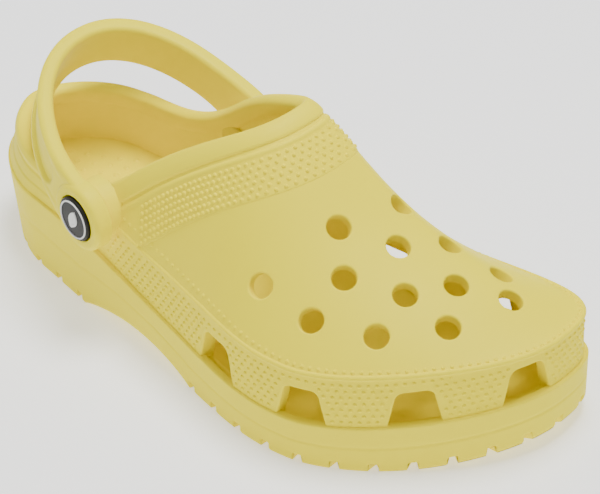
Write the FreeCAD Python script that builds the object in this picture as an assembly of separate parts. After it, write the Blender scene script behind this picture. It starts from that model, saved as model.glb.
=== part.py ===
"""Garden clog for the right foot, with a swinging heel strap.

Millimetres, +Z up, +X towards the toe, +Y towards the wearer's left (the inner side of the foot).
The origin is on the ground, in the middle of the sole's length and width.
"""
import FreeCAD
import Part
import math
import os

V = FreeCAD.Vector

# ---- driving dimensions: sole -------------------------------------------------------------
SOLE_LENGTH = 290.0          # heel to toe
SIDE_SHIFT = 5.5             # moves the foot's own line so the sole's width is centred on Y = 0
TOE_CAP = 80.0               # length of the rounded toe end
HEEL_CAP = 40.0              # length of the rounded heel end
TOE_CENTRE_Y = 21.0          # the toe's tip lies on the inner side
HEEL_CENTRE_Y = 3.0
TOE_ROUND_OUTER = 1.9        # exponents of the rounded ends, 2 is an ellipse
TOE_ROUND_INNER = 3.1
HEEL_ROUND = 1.9
SOLE_TAPER = 1.2             # the tread is this much inside the sole's top edge
HEEL_TAPER = 3.0             # extra taper at the back of the heel
TOE_SPRING = 8.0             # the toe's tread rises this far
SPRING_LENGTH = 50.0         # over this length
ARCH_RISE = 8.0              # the shank rises this far between the two treads
ARCH_FROM = -70.0
ARCH_TO = 4.0
NOTCH_PITCH = 16.3           # tread notches along the sole's edge
NOTCH_WIDTH = 3.8
NOTCH_HEIGHT = 4.0
NOTCH_DEPTH = 6.0
GROOVE_PITCH = 15.0          # cross grooves under the ball and the heel
GROOVE_WIDTH = 3.0
GROOVE_DEPTH = 1.5
GROOVE_LENGTH = 52.0
FOOTBED_HEEL = 27.0          # height of the footbed above the ground
FOOTBED_BALL = 16.0
FOOTBED_CUP = 6.0            # how far the footbed climbs at its edge

# ---- driving dimensions: upper ------------------------------------------------------------
UPPER_SETBACK = 1.0          # the bumper's foot stands this far inside the sole's edge
UPPER_LEAN = 1.2             # and it leans in by this much per 30 mm of height
WALL = 5.0                   # shell thickness of the upper
DOME_ROUND = 2.3             # exponent of the upper's cross-section
VAMP_ROUND_INNER = 1.5       # the same over the inner side of the vamp, which falls sooner
HEEL_LEAN = 0.27             # extra inward lean of the heel counter above its foot, per mm
HEEL_FOOT_Z = 40.0
COLLAR_FRONT = 22.0          # X of the front of the foot opening
HOLE_R = 5.2                 # round air holes in the vamp
VENT_PITCH = 48.0            # air vents along the bumper
VENT_WIDTH = 22.0
VENT_TOP = 15.0              # width of a vent at its top
VENT_HEIGHT = 16.0
VENT_COUNT = 7

# ---- driving dimensions: strap and its rivets ---------------------------------------------
PIVOT_X = -48.0
PIVOT_Z = 59.5
STRAP_CENTRE_Y = 4.5
STRAP_YAW = 10.0             # degrees: the hinge line is askew, its inner end nearer the toe
STRAP_REACH = 75.0           # pivot to the middle of the band, at the back of the loop
STRAP_HALF = 48.0            # half the distance between the two bosses' mid planes
STRAP_SQUARE = 2.05          # exponent of the loop, 2 is an ellipse
STRAP_SKEW = 4.0             # the back of the loop lies this much to the inner side
STRAP_WIDTH = 23.0
STRAP_THICK = 7.0
STRAP_RAISE = 21.0           # degrees above level, as the clog stands on a shelf
CHANNEL_DEPTH = 1.2          # sunk channel along the outside of the band
CHANNEL_RIM = 4.0
CHANNEL_START = 21.0
BOSS_R = 15.5
BOSS_THICK = 8.2
PAD_R = 13.0                 # flat pad on the upper behind each boss
PAD_GAP = 0.3
PAD_ROOM = 0.5               # the arm of the strap is relieved this far round the pad
PAD_DEPTH = 10.0             # from the pad's face to the rivet cap's seat inside the shoe
RIVET_R = 4.0
RIVET_RUNNING = 0.05         # radial clearance of the strap on its rivet
CAP_R = 8.5                  # rivet cap inside the shoe
CAP_THICK = 2.0
CAP_GAP = 0.5                # room round the cap in its seat
HEAD_R = 10.0                # the rivet's head, a round badge plate
HEAD_THICK = 2.6
HEAD_SINK = 1.6              # the head sits this deep in the boss
HEAD_GAP = 0.4
RING_R = 8.9                 # raised ring on the badge plate
RING_WIDTH = 0.7
RELIEF = 0.5                 # height of the ring and the emblem
EMBLEM_LENGTH = 10.0         # leaf emblem
EMBLEM_WIDTH = 5.5

TOE_X = SOLE_LENGTH / 2
HEEL_X = -SOLE_LENGTH / 2
TOE_START = TOE_X - TOE_CAP
HEEL_START = HEEL_X + HEEL_CAP


def stations(xs, values):
    """Natural cubic curve through values given at stations xs; straight beyond both ends."""
    n = len(xs)
    h = [xs[i + 1] - xs[i] for i in range(n - 1)]
    low, diag, rhs = [0.0] * n, [1.0] * n, [0.0] * n
    up = [0.0] * n
    for i in range(1, n - 1):
        low[i], diag[i], up[i] = h[i - 1], 2 * (h[i - 1] + h[i]), h[i]
        rhs[i] = 3 * ((values[i + 1] - values[i]) / h[i] - (values[i] - values[i - 1]) / h[i - 1])
    for i in range(1, n):
        f = low[i] / diag[i - 1]
        diag[i] -= f * up[i - 1]
        rhs[i] -= f * rhs[i - 1]
    c = [0.0] * n
    for i in range(n - 1, -1, -1):
        c[i] = (rhs[i] - (up[i] * c[i + 1] if i < n - 1 else 0.0)) / diag[i]

    def slope(i):
        return (values[i + 1] - values[i]) / h[i] - h[i] * (2 * c[i] + c[i + 1]) / 3

    def curve(x):
        if x <= xs[0]:
            return values[0] + (x - xs[0]) * slope(0)
        if x >= xs[-1]:
            end = slope(n - 2) + h[-1] * (c[-2] + c[-1])
            return values[-1] + (x - xs[-1]) * end
        i = max(k for k in range(n - 1) if xs[k] <= x)
        t = x - xs[i]
        return values[i] + slope(i) * t + c[i] * t * t + (c[i + 1] - c[i]) / (3 * h[i]) * t ** 3

    return curve


# ---- the last: curves along the foot, each given at stations of X --------------------------
X_STATIONS = [HEEL_X, -100, -50, 0, 50, 90, 120, TOE_X]
outer_side = stations(X_STATIONS, [-29, -35.5, -44, -53.5, -63, -57, -48, -40])
inner_side = stations(X_STATIONS, [36, 39.5, 41, 43, 47, 52, 57, 62])
ridge_y = stations([HEEL_START, -50, 0, 40, 80, 120, TOE_X], [3, 4, 8, 11, 13, 17, 22])
ridge_z = stations([HEEL_X, -40, 0, 20, 40, 60, 80, 100, 120, TOE_X],
                   [119, 119, 118, 113.5, 98, 83, 73.5, 69, 66, 59])
ledge_z = stations([HEEL_X, -100, -60, -20, 20, 70, 110, TOE_X],
                   [40, 39.5, 36, 28, 23.5, 22, 24.5, 30])
bumper_height = stations([HEEL_X, -100, -60, -20, 20, 70, 110, TOE_X],
                         [10, 10, 11, 15, 19, 21.5, 21.5, 20.5])
footbed_z = stations([HEEL_X, -100, -50, 0, 40, 90, TOE_X],
                     [FOOTBED_HEEL, FOOTBED_HEEL, FOOTBED_HEEL - 2, FOOTBED_BALL + 3,
                      FOOTBED_BALL, FOOTBED_BALL, FOOTBED_BALL + 5])
TOPLINE = [(HEEL_X - 10, 60), (-120, 58.5), (-90, 57.5), (-68, 60.5), (-50, 71), (-33, 85.5),
           (-17, 97.5), (4, 109.5), (COLLAR_FRONT - 2, 117)]

# air holes as (X, Y) of their centres, in rows across the vamp, from the collar to the toe
HOLE_ROWS = [
    [(61, 25), (54, -6.5), (40.5, -40)],
    [(84, 28), (73.5, 7.5), (67, -19), (65.5, -38)],
    [(105, 35), (99.5, 12.5), (88.5, -6.5), (90, -26.5)],
    [(117.5, 25.5), (109, -4.5)],
]


def end_fraction(x):
    """0 along the middle of the foot, rising to 1 at the tip of the toe and at the heel."""
    toe = max(0.0, (x - TOE_START) / TOE_CAP)
    heel = max(0.0, (HEEL_START - x) / HEEL_CAP)
    return max(toe, heel)


def round_power(x, inner):
    if x < 0:
        return HEEL_ROUND
    return TOE_ROUND_INNER if inner else TOE_ROUND_OUTER


def sole_side(x, inner):
    """Y of the sole's edge at station x, on the inner or the outer side, before the shift."""
    power = round_power(x, inner)
    cap = max(0.0, 1 - end_fraction(x) ** power) ** (1 / power)
    tip = TOE_CENTRE_Y if x > 0 else HEEL_CENTRE_Y
    side = inner_side(x) if inner else outer_side(x)
    return tip + (side - tip) * cap if cap < 1 else side


def gauge(x, y):
    """0 on the ridge of the foot, 1 at the sole's edge, for a point before the shift."""
    ridge = ridge_y(x)
    inner = y > ridge
    power = round_power(x, inner)
    side = inner_side(x) if inner else outer_side(x)
    across = abs((y - ridge) / (side - ridge))
    return (across ** power + end_fraction(x) ** power) ** (1 / power)


def ease(t):
    t = min(1.0, max(0.0, t))
    return t * t * (3 - 2 * t)


def dome_power(x, y):
    """Exponent of the dome, lowered from the ridge towards the inner side of the vamp."""
    across = (y - ridge_y(x)) / (inner_side(x) - ridge_y(x))
    return DOME_ROUND - (DOME_ROUND - VAMP_ROUND_INNER) * ease((x + 40) / 60) * ease(across / 0.6)


def dome_z(x, y):
    """Height of the upper's outside surface over a point of the plan."""
    base = ledge_z(x) + bumper_height(x)
    power = dome_power(x, y - SIDE_SHIFT)
    return base + (ridge_z(x) - base) * (1 - gauge(x, y - SIDE_SHIFT) ** power)


def dome_normal(x, y):
    step = 0.5
    dx = (dome_z(x + step, y) - dome_z(x - step, y)) / (2 * step)
    dy = (dome_z(x, y + step) - dome_z(x, y - step)) / (2 * step)
    return V(-dx, -dy, 1).normalize()


def edge_points(count, inset=lambda x: 0.0):
    """Points round the sole's edge, moved inwards by inset(x)."""
    half = count // 2
    xs = [-TOE_X * math.cos(math.pi * i / half) for i in range(half + 1)]
    ring = [V(x, sole_side(x, False) + SIDE_SHIFT, 0) for x in xs]
    ring += [V(x, sole_side(x, True) + SIDE_SHIFT, 0) for x in reversed(xs[1:-1])]
    out = []
    for i, p in enumerate(ring):
        along = ring[(i + 1) % len(ring)] - ring[i - 1]
        along.normalize()
        out.append(p + V(-along.y, along.x, 0) * inset(p.x))
    return out


def edge_wire(z, inset, count=56):
    curve = Part.BSplineCurve()
    curve.interpolate(Points=[V(p.x, p.y, z) for p in edge_points(count, inset)], PeriodicFlag=True)
    return Part.Wire([curve.toShape()])


def edge_block(*levels):
    """Solid inside the sole's edge, from pairs of a height and the inset there."""
    return Part.makeLoft([edge_wire(z, inset) for z, inset in levels], True, True)


def edge_frames(pitch, reach):
    """Points and outward directions along the edge at whole multiples of pitch from the toe."""
    ring = edge_points(600)
    start = min(range(len(ring)), key=lambda i: abs(ring[i].x - (TOE_X - 4)) + (ring[i].y > 12) * 99)
    lengths = [0.0]
    for i in range(len(ring)):
        a, b = ring[(start + i) % len(ring)], ring[(start + i + 1) % len(ring)]
        lengths.append(lengths[-1] + (b - a).Length)
    total = lengths[-1]
    frames = []
    for k in range(-int(reach / pitch), int(reach / pitch) + 1):
        target = (k * pitch) % total
        i = max(j for j in range(len(ring)) if lengths[j] <= target)
        a, b = ring[(start + i) % len(ring)], ring[(start + i + 1) % len(ring)]
        t = (target - lengths[i]) / max(1e-6, lengths[i + 1] - lengths[i])
        along = (b - a).normalize()
        frames.append((a + (b - a) * t, V(along.y, -along.x, 0)))
    return frames


def height_solid(height, thickness):
    """Solid between a surface over the plan and the same surface moved by thickness."""
    xs = [HEEL_X - 15 + i * (SOLE_LENGTH + 30) / 40 for i in range(41)]
    ys = [-75 + j * 150 / 24 for j in range(25)]
    surface = Part.BSplineSurface()
    surface.interpolate([[height(x, y) for y in ys] for x in xs])
    return surface.toShape().extrude(V(0, 0, thickness))


def side_profile(points, closing):
    """Solid across the whole width: a smooth curve of (X, Z) closed by straight lines."""
    curve = Part.BSplineCurve()
    curve.interpolate([V(x, -90, z) for x, z in points])
    corners = [V(points[-1][0], -90, points[-1][1])]
    corners += [V(x, -90, z) for x, z in closing]
    corners.append(V(points[0][0], -90, points[0][1]))
    wire = Part.Wire([curve.toShape()] + Part.makePolygon(corners).Edges)
    return Part.Face(wire).extrude(V(0, 180, 0))


def line(x0, x1, z):
    return Part.makeLine(V(x0, -90, z), V(x1, -90, z))


def spline(x0, x1, height):
    curve = Part.BSplineCurve()
    span = [x0 + (x1 - x0) * i / 16 for i in range(17)]
    curve.interpolate([V(x, -90, height(x)) for x in span])
    return curve.toShape()


def ground_profile():
    """Everything above the tread: two flat treads, the arch between them and the toe's spring."""
    heel, toe, spring = HEEL_X - 5, TOE_X + 5, TOE_X - SPRING_LENGTH
    edges = [line(heel, ARCH_FROM, 0), spline(ARCH_FROM, ARCH_TO, tread_z), line(ARCH_TO, spring, 0),
             spline(spring, toe, tread_z)]
    closing = [(toe, tread_z(toe)), (toe, 90), (heel, 90), (heel, 0)]
    edges += Part.makePolygon([V(x, -90, z) for x, z in closing]).Edges
    return Part.Face(Part.Wire(edges)).extrude(V(0, 180, 0))


def y_cylinder(radius, y0, y1, x=PIVOT_X, z=PIVOT_Z):
    return Part.makeCylinder(radius, abs(y1 - y0), V(x, min(y0, y1), z), V(0, 1, 0))


def one_solid(shape):
    """The largest solid of a boolean's result."""
    return max(shape.Solids, key=lambda s: s.Volume)


# ---- sole -----------------------------------------------------------------------------------
def tread_z(x):
    """Height of the tread: flat, raised under the arch and sprung up at the toe."""
    z = 0.0
    if ARCH_FROM < x < ARCH_TO:
        t = (x - ARCH_FROM) / (ARCH_TO - ARCH_FROM)
        z = ARCH_RISE * math.sin(math.pi * t) ** 0.8
    if x > TOE_X - SPRING_LENGTH:
        z = TOE_SPRING * ((x - TOE_X + SPRING_LENGTH) / SPRING_LENGTH) ** 2
    return z


def heel_inset(x):
    return SOLE_TAPER + HEEL_TAPER * min(1.0, max(0.0, (-70 - x) / 50))


def bowl_inset(x):
    return UPPER_SETBACK + WALL


def make_sole():
    low, high = -2.0, 50.0
    block = edge_block((low, heel_inset), (high, lambda x: 0.0))
    span = [HEEL_X - 5 + i * (SOLE_LENGTH + 10) / 30 for i in range(31)]
    top = side_profile([(x, ledge_z(x)) for x in span[::2]],
                       [(TOE_X + 5, -10), (HEEL_X - 5, -10)])
    sole = block.common(top).common(ground_profile())

    def dish(x, y):
        rise = min(1.3, gauge(x, y - SIDE_SHIFT)) ** 5
        return V(x, y, footbed_z(x) + FOOTBED_CUP * rise)

    bowl = height_solid(dish, 60.0).common(edge_block((5, bowl_inset), (60, bowl_inset)))
    sole = sole.cut(bowl)
    cutters = []
    for at, out in edge_frames(NOTCH_PITCH, 348.0):
        if ARCH_FROM - 2 < at.x < ARCH_TO:
            continue
        box = Part.makeBox(NOTCH_DEPTH + 8, NOTCH_WIDTH, NOTCH_HEIGHT + 6,
                           V(-NOTCH_DEPTH, -NOTCH_WIDTH / 2, -6))
        box.rotate(V(0, 0, 0), V(0, 0, 1), math.degrees(math.atan2(out.y, out.x)))
        box.translate(V(at.x, at.y, tread_z(at.x)) - out * heel_inset(at.x))
        cutters.append(box)
    for first, last in ((ARCH_TO + 20, TOE_X - 35), (HEEL_X + 28, ARCH_FROM - 8)):
        count = int((last - first) / GROOVE_PITCH) + 1
        for i in range(count):
            x = first + i * GROOVE_PITCH
            mid = (sole_side(x, True) + sole_side(x, False)) / 2 + SIDE_SHIFT
            groove = Part.makeBox(GROOVE_WIDTH, GROOVE_LENGTH, 10,
                                  V(x - GROOVE_WIDTH / 2, mid - GROOVE_LENGTH / 2,
                                    tread_z(x) + GROOVE_DEPTH - 10))
            cutters.append(groove)
    return one_solid(sole.cut(cutters))


# ---- upper ----------------------------------------------------------------------------------
def wall_block(depth):
    """Solid inside the upper's leaning side wall, depth in from its outside."""
    def level(z):
        def inset(x):
            heel = min(1.0, max(0.0, (-95 - x) / 40)) * HEEL_LEAN * (min(z, 70.0) - HEEL_FOOT_Z)
            return UPPER_SETBACK + depth + UPPER_LEAN * (z - 5) / 30 + heel
        return z, inset

    return edge_block(level(20.0), level(70.0), level(135.0))


def make_upper():
    outside, inside = wall_block(0.0), wall_block(WALL)

    def shell(x, y):
        return V(x, y, dome_z(x, y))

    def lining(x, y):
        return V(x, y, dome_z(x, y)) - dome_normal(x, y) * WALL

    outside = outside.common(height_solid(shell, -200.0))
    inside = inside.common(height_solid(lining, -200.0))
    span = [HEEL_X - 10 + i * (SOLE_LENGTH + 20) / 15 for i in range(16)]
    above_sole = side_profile([(x, ledge_z(x)) for x in span],
                              [(TOE_X + 10, 140), (HEEL_X - 10, 140)])
    opening = side_profile(TOPLINE, [(COLLAR_FRONT, 140), (HEEL_X - 10, 140)])
    outside = outside.cut(opening)
    added, bores = [], []
    for side in (-1, 1):
        face, seat = pad_face(side), cap_seat(side)
        added.append(askew(y_cylinder(PAD_R, face, seat)).cut(inside))
        added.append(askew(y_cylinder(CAP_R + 2, face, seat)))
        bores.append(askew(y_cylinder(RIVET_R, face + side, seat - side)))
        bores.append(askew(y_cylinder(CAP_R + CAP_GAP, seat, seat - side * 12)))
    upper = outside.cut(inside).fuse(added).common(above_sole)
    return one_solid(upper.cut(bores + air_holes() + side_vents()))


def strap_inner_face(side):
    return STRAP_CENTRE_Y + side * (STRAP_HALF - BOSS_THICK / 2)


def pad_face(side):
    return strap_inner_face(side) - side * PAD_GAP


def cap_seat(side):
    return pad_face(side) - side * PAD_DEPTH


def askew(shape):
    """Turn a piece built square to the foot's line into the hinge's own skewed line."""
    shape.rotate(V(PIVOT_X, STRAP_CENTRE_Y, 0), V(0, 0, 1), -STRAP_YAW)
    return shape


def air_holes():
    """Round cutters square to the vamp."""
    cutters = []
    for row in HOLE_ROWS:
        for x, y in row:
            n = dome_normal(x, y)
            top = V(x, y, dome_z(x, y)) + n * 6
            cutters.append(Part.makeCylinder(HOLE_R, WALL + 14, top, n * -1))
    return cutters


def side_vents():
    """Cutters for the vents: wide at the sole, narrow and rounded at the top."""
    cutters = []
    reach = VENT_PITCH * (VENT_COUNT // 2)
    for at, out in edge_frames(VENT_PITCH, reach + 1):
        foot = ledge_z(at.x)
        half, top = VENT_WIDTH / 2, VENT_TOP / 2
        wire = Part.makePolygon([V(0, -half - 1, -4), V(0, half + 1, -4), V(0, top, VENT_HEIGHT),
                                 V(0, -top, VENT_HEIGHT), V(0, -half - 1, -4)])
        vent = Part.Face(wire).extrude(V(30, 0, 0))
        upper_edges = [e for e in vent.Edges
                       if abs(e.CenterOfMass.z - VENT_HEIGHT) < 0.1 and abs(e.CenterOfMass.y) > 1]
        vent = vent.makeFillet(3.0, upper_edges)
        vent.translate(V(-20, 0, 0))
        vent.rotate(V(0, 0, 0), V(0, 0, 1), math.degrees(math.atan2(out.y, out.x)))
        vent.translate(V(at.x, at.y, foot))
        cutters.append(vent)
    return cutters


# ---- heel strap -----------------------------------------------------------------------------
def loop_point(angle, offset):
    """Point of the strap loop in its own plane; angle runs from -90 to 90 degrees."""
    c, s = math.cos(math.radians(angle)), math.sin(math.radians(angle))
    reach = STRAP_REACH + offset
    back = reach * max(0.0, c) ** (2 / STRAP_SQUARE)
    side = (STRAP_HALF + offset) * math.copysign(abs(s) ** (2 / STRAP_SQUARE), s)
    return V(PIVOT_X - back, STRAP_CENTRE_Y + side + STRAP_SKEW * (back / STRAP_REACH) ** 2, 0)


def loop_band(inner, outer, half_width):
    """The loop between two offsets, lying level through the pivot."""
    angles = [-90 + i * 7.5 for i in range(25)]
    edges = []
    for offset in (inner, outer):
        curve = Part.BSplineCurve()
        curve.interpolate([loop_point(a, offset) for a in angles])
        edges.append(curve.toShape())
    for end in (-90, 90):
        edges.append(Part.makeLine(loop_point(end, inner), loop_point(end, outer)))
    face = Part.Face(Part.Wire(Part.__sortEdges__(edges)))
    face.translate(V(0, 0, PIVOT_Z - half_width))
    return face.extrude(V(0, 0, 2 * half_width))


def band_outline():
    """Side view of the band: as tall as the boss at the pivot, then the strap's own width."""
    curve = []
    for i in range(9):
        back = i * 6.0
        t = min(1.0, back / 36.0)
        blend = t * t * (3 - 2 * t)
        curve.append((back, BOSS_R - 1.0 + (STRAP_WIDTH / 2 - BOSS_R + 1.0) * blend))
    upper = [(PIVOT_X - b, PIVOT_Z + h) for b, h in curve]
    lower = [(PIVOT_X - b, PIVOT_Z - h) for b, h in reversed(curve)]
    far = PIVOT_X - STRAP_REACH - 30
    points = upper + [(far, PIVOT_Z + STRAP_WIDTH / 2), (far, PIVOT_Z - STRAP_WIDTH / 2)] + lower
    wire = Part.makePolygon([V(x, -90, z) for x, z in points + points[:1]])
    return Part.Face(wire).extrude(V(0, 180, 0))


def raise_strap(shape):
    """Swing the strap up from level, then set it on the skewed hinge line."""
    shape.rotate(V(PIVOT_X, 0, PIVOT_Z), V(0, 1, 0), STRAP_RAISE)
    return askew(shape)


def make_heel_strap():
    half = STRAP_THICK / 2
    strap = loop_band(-half, half, 20).common(band_outline())
    bosses, cuts = [], []
    for side in (-1, 1):
        inner_face = strap_inner_face(side)
        outer_face = inner_face + side * BOSS_THICK
        bosses.append(y_cylinder(BOSS_R, inner_face, outer_face))
        cuts.append(y_cylinder(RIVET_R + RIVET_RUNNING, inner_face - side, outer_face + side))
        cuts.append(y_cylinder(HEAD_R + HEAD_GAP, outer_face - side * HEAD_SINK, outer_face + side))
        cuts.append(y_cylinder(PAD_R + PAD_ROOM, inner_face, inner_face - side * 10))
    strap = strap.fuse(bosses)
    channel = loop_band(half - CHANNEL_DEPTH, half + 1, STRAP_WIDTH / 2 - CHANNEL_RIM)
    beyond = Part.makeBox(200, 200, 200, V(PIVOT_X - CHANNEL_START - 200, -100, PIVOT_Z - 100))
    return raise_strap(one_solid(strap.cut(channel.common(beyond)).cut(cuts)))


# ---- rivets and badges ------------------------------------------------------------------------
def rivet_stack(side):
    """Y of the rivet's faces, from the inside of the shoe outwards."""
    inner_face = strap_inner_face(side)
    boss_outer = inner_face + side * BOSS_THICK
    seat = boss_outer - side * (HEAD_SINK - HEAD_GAP)
    return {"wall": cap_seat(side), "seat": seat, "front": seat + side * HEAD_THICK}


def make_rivet(side):
    """Post through the pad and the boss."""
    stack = rivet_stack(side)
    return y_cylinder(RIVET_R, stack["wall"], stack["seat"])


def make_cap(side):
    """Round cap that clamps the post on the inside of the shoe."""
    stack = rivet_stack(side)
    cap = y_cylinder(CAP_R, stack["wall"], stack["wall"] - side * CAP_THICK)
    rim = [e for e in cap.Edges if abs(e.CenterOfMass.y - stack["wall"] + side * CAP_THICK) < 0.01]
    return cap.makeFillet(1.2, rim)


def make_plate(side):
    stack = rivet_stack(side)
    plate = y_cylinder(HEAD_R, stack["seat"], stack["front"])
    rim = [e for e in plate.Edges if abs(e.CenterOfMass.y - stack["front"]) < 0.01]
    return plate.makeFillet(0.6, rim)


def make_ring(side):
    front = rivet_stack(side)["front"]
    ring = y_cylinder(RING_R, front, front + side * RELIEF)
    return ring.cut(y_cylinder(RING_R - RING_WIDTH, front - 1, front + 1))


def make_emblem(side):
    """A plain leaf: two arcs that meet at its tips."""
    front = rivet_stack(side)["front"]
    tip, half = EMBLEM_LENGTH / 2, EMBLEM_WIDTH / 2
    left = Part.Arc(V(0, front, -tip), V(-half, front, 0), V(0, front, tip)).toShape()
    right = Part.Arc(V(0, front, tip), V(half, front, 0), V(0, front, -tip)).toShape()
    leaf = Part.Face(Part.Wire([left, right])).extrude(V(0, side * RELIEF, 0))
    leaf.rotate(V(0, 0, 0), V(0, 1, 0), 20)
    leaf.translate(V(PIVOT_X, 0, PIVOT_Z))
    return leaf


def main():
    parts = {"sole": make_sole(), "upper": make_upper(), "heel_strap": make_heel_strap()}
    for side, name in ((-1, "outer"), (1, "inner")):
        parts["rivet_post_" + name] = make_rivet(side)
        parts["rivet_cap_" + name] = make_cap(side)
        parts["badge_plate_" + name] = make_plate(side)
        parts["badge_ring_" + name] = make_ring(side)
        parts["badge_leaf_" + name] = make_emblem(side)
    os.makedirs("parts", exist_ok=True)
    for name, shape in parts.items():
        if name.startswith(("rivet", "badge")):
            askew(shape)
        shape.exportStep("parts/" + name + ".step")


main()
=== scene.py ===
"""Looks of the garden clog: foam skins, textured bands, strap, badges and their materials."""
import math
import bpy
import numpy as np
from mathutils import Matrix, Vector


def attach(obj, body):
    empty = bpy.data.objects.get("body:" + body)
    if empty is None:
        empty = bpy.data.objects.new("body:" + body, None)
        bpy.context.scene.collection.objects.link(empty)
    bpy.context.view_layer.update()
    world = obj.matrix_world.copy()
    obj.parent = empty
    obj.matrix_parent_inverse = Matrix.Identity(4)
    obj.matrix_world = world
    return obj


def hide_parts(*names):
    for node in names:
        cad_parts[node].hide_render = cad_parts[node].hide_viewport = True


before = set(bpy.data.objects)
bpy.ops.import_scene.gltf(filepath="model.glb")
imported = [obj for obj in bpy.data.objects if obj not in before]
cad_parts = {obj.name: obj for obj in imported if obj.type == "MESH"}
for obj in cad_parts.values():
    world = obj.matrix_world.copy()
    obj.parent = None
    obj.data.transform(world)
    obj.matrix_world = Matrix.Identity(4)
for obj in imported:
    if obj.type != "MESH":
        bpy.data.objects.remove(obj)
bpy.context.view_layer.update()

MM = 0.001
PI = math.pi

# ---- sizes in millimetres, the same as the frame's ----
LENGTH = 290.0
SHIFT = 5.5                      # the foot's own line lies this far to the outer side
TOE, HEEL = LENGTH / 2, -LENGTH / 2
TOE_START, HEEL_START = TOE - 80.0, HEEL + 40.0
TIP_Y, BACK_Y = 21.0, 3.0
WALL = 5.0
SETBACK, LEAN = 1.0, 0.04        # the upper's wall stands inside the sole and leans inwards
HEEL_LEAN, LEAN_START, LEAN_BLEND, LEAN_FOOT, LEAN_HEIGHT = 0.27, -95.0, 40.0, 40.0, 30.0
DOME_ROUND = 2.3
MOUTH_FRONT = 20.0               # the foot opening ends behind this station
HOLE_R, HOLE_FILLET = 5.2, 0.8
VENT_PITCH, VENT_FOOT, VENT_TOP, VENT_HEIGHT, VENT_ROUND = 48.0, 22.2, 15.0, 16.0, 3.0
VENTS_EACH_SIDE, VENT_MIDDLE, VENT_SINK, VENT_FILLET = 3, 7.0, 3.0, 0.8
VENT_COSINE = 0.975              # of the angle at which a vent's sides lean
BUMPER_SINK = 0.4                # the side wall starts this far under the ledge
ARCH_BACK, ARCH_FRONT, ARCH_RISE = -70.0, 4.0, 8.0
SPRING_LENGTH, SPRING_RISE = 50.0, 8.0
NOTCH_PITCH, NOTCH_WIDTH, NOTCH_HEIGHT, NOTCH_DEPTH, NOTCH_ROUND = 16.3, 3.8, 4.0, 6.0, 0.8
NOTCH_REACH = 348.0              # along the edge from the toe; none stands behind the heel
GROOVE_PITCH, GROOVE_WIDTH, GROOVE_DEPTH, GROOVE_LENGTH = 15.0, 3.0, 1.5, 52.0
LIP_RISE, LIP_UNDER = 1.25, 0.45  # the lip stands proud of the outside and of the lining
COLLAR_REACH = 37.0
PIVOT = np.array([-48.0, 4.5, 59.5])
STRAP_REACH, STRAP_HALF, STRAP_SQUARE, STRAP_SKEW = 75.0, 48.0, 2.05, 4.0
STRAP_WIDTH, STRAP_THICK, STRAP_RAISE, STRAP_YAW = 23.0, 7.0, 21.0, 10.0
CHANNEL_DEPTH, SEAT_DEPTH = 1.45, 1.5
BOSS_R, BOSS_THICK, PAD_R, HEAD_R, RING_R = 15.5, 8.2, 13.0, 10.0, 8.9
LEAF_HALF_WIDTH, LEAF_HALF_LENGTH, LEAF_TILT = 2.75, 5.0, 20.0


# ---- curves along the foot ----
def stations(xs, values):
    """Natural cubic curve through values given at stations xs, straight beyond both ends."""
    xs, values = np.array(xs, float), np.array(values, float)
    n, h = len(xs), np.diff(xs)
    a, b = np.eye(n), np.zeros(n)
    for i in range(1, n - 1):
        a[i, i - 1:i + 2] = h[i - 1], 2 * (h[i - 1] + h[i]), h[i]
        b[i] = 3 * ((values[i + 1] - values[i]) / h[i] - (values[i] - values[i - 1]) / h[i - 1])
    c = np.linalg.solve(a, b)
    slope = np.diff(values) / h - h * (2 * c[:-1] + c[1:]) / 3
    cube = np.diff(c) / (3 * h)
    end = slope[-1] + h[-1] * (c[-2] + c[-1])

    def curve(x):
        x = np.asarray(x, float)
        i = np.clip(np.searchsorted(xs, x, side="right") - 1, 0, n - 2)
        t = np.clip(x, xs[0], xs[-1]) - xs[i]
        inside = values[i] + slope[i] * t + c[i] * t * t + cube[i] * t ** 3
        return inside + np.minimum(x - xs[0], 0) * slope[0] + np.maximum(x - xs[-1], 0) * end

    return curve


X_STATIONS = [HEEL, -100, -50, 0, 50, 90, 120, TOE]
outer_side = stations(X_STATIONS, [-29, -35.5, -44, -53.5, -63, -57, -48, -40])
inner_side = stations(X_STATIONS, [36, 39.5, 41, 43, 47, 52, 57, 62])
ridge_y = stations([HEEL_START, -50, 0, 40, 80, 120, TOE], [3, 4, 8, 11, 13, 17, 22])
ridge_z = stations([HEEL, -40, 0, 20, 40, 60, 80, 100, 120, TOE],
                   [119, 119, 118, 113.5, 98, 83, 73.5, 69, 66, 59])
ledge_z = stations([HEEL, -100, -60, -20, 20, 70, 110, TOE],
                   [40, 39.5, 36, 28, 23.5, 22, 24.5, 30])
bumper = stations([HEEL, -100, -60, -20, 20, 70, 110, TOE],
                  [10, 10, 11, 15, 19, 21.5, 21.5, 20.5])
footbed = stations([HEEL, -100, -50, 0, 40, 90, TOE], [27, 27, 25, 19, 16, 16, 21])
topline = stations([HEEL - 10, -120, -90, -68, -50, -33, -17, 4, 20],
                   [60, 58.5, 57.5, 60.5, 71, 85.5, 97.5, 109.5, 117])
HOLES = np.array([(61, 25), (54, -6.5), (40.5, -40), (84, 28), (73.5, 7.5), (67, -19), (65.5, -38),
                  (105, 35), (99.5, 12.5), (88.5, -6.5), (90, -26.5), (117.5, 25.5), (109, -4.5)])


def smooth(a, b, x):
    """0 below a, 1 above b, with no kink between."""
    t = np.clip((x - a) / (b - a), 0, 1)
    return t * t * (3 - 2 * t)


def unit(v):
    """Vectors divided by their own lengths."""
    return v / np.maximum(np.linalg.norm(v, axis=-1, keepdims=True), 1e-9)


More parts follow.
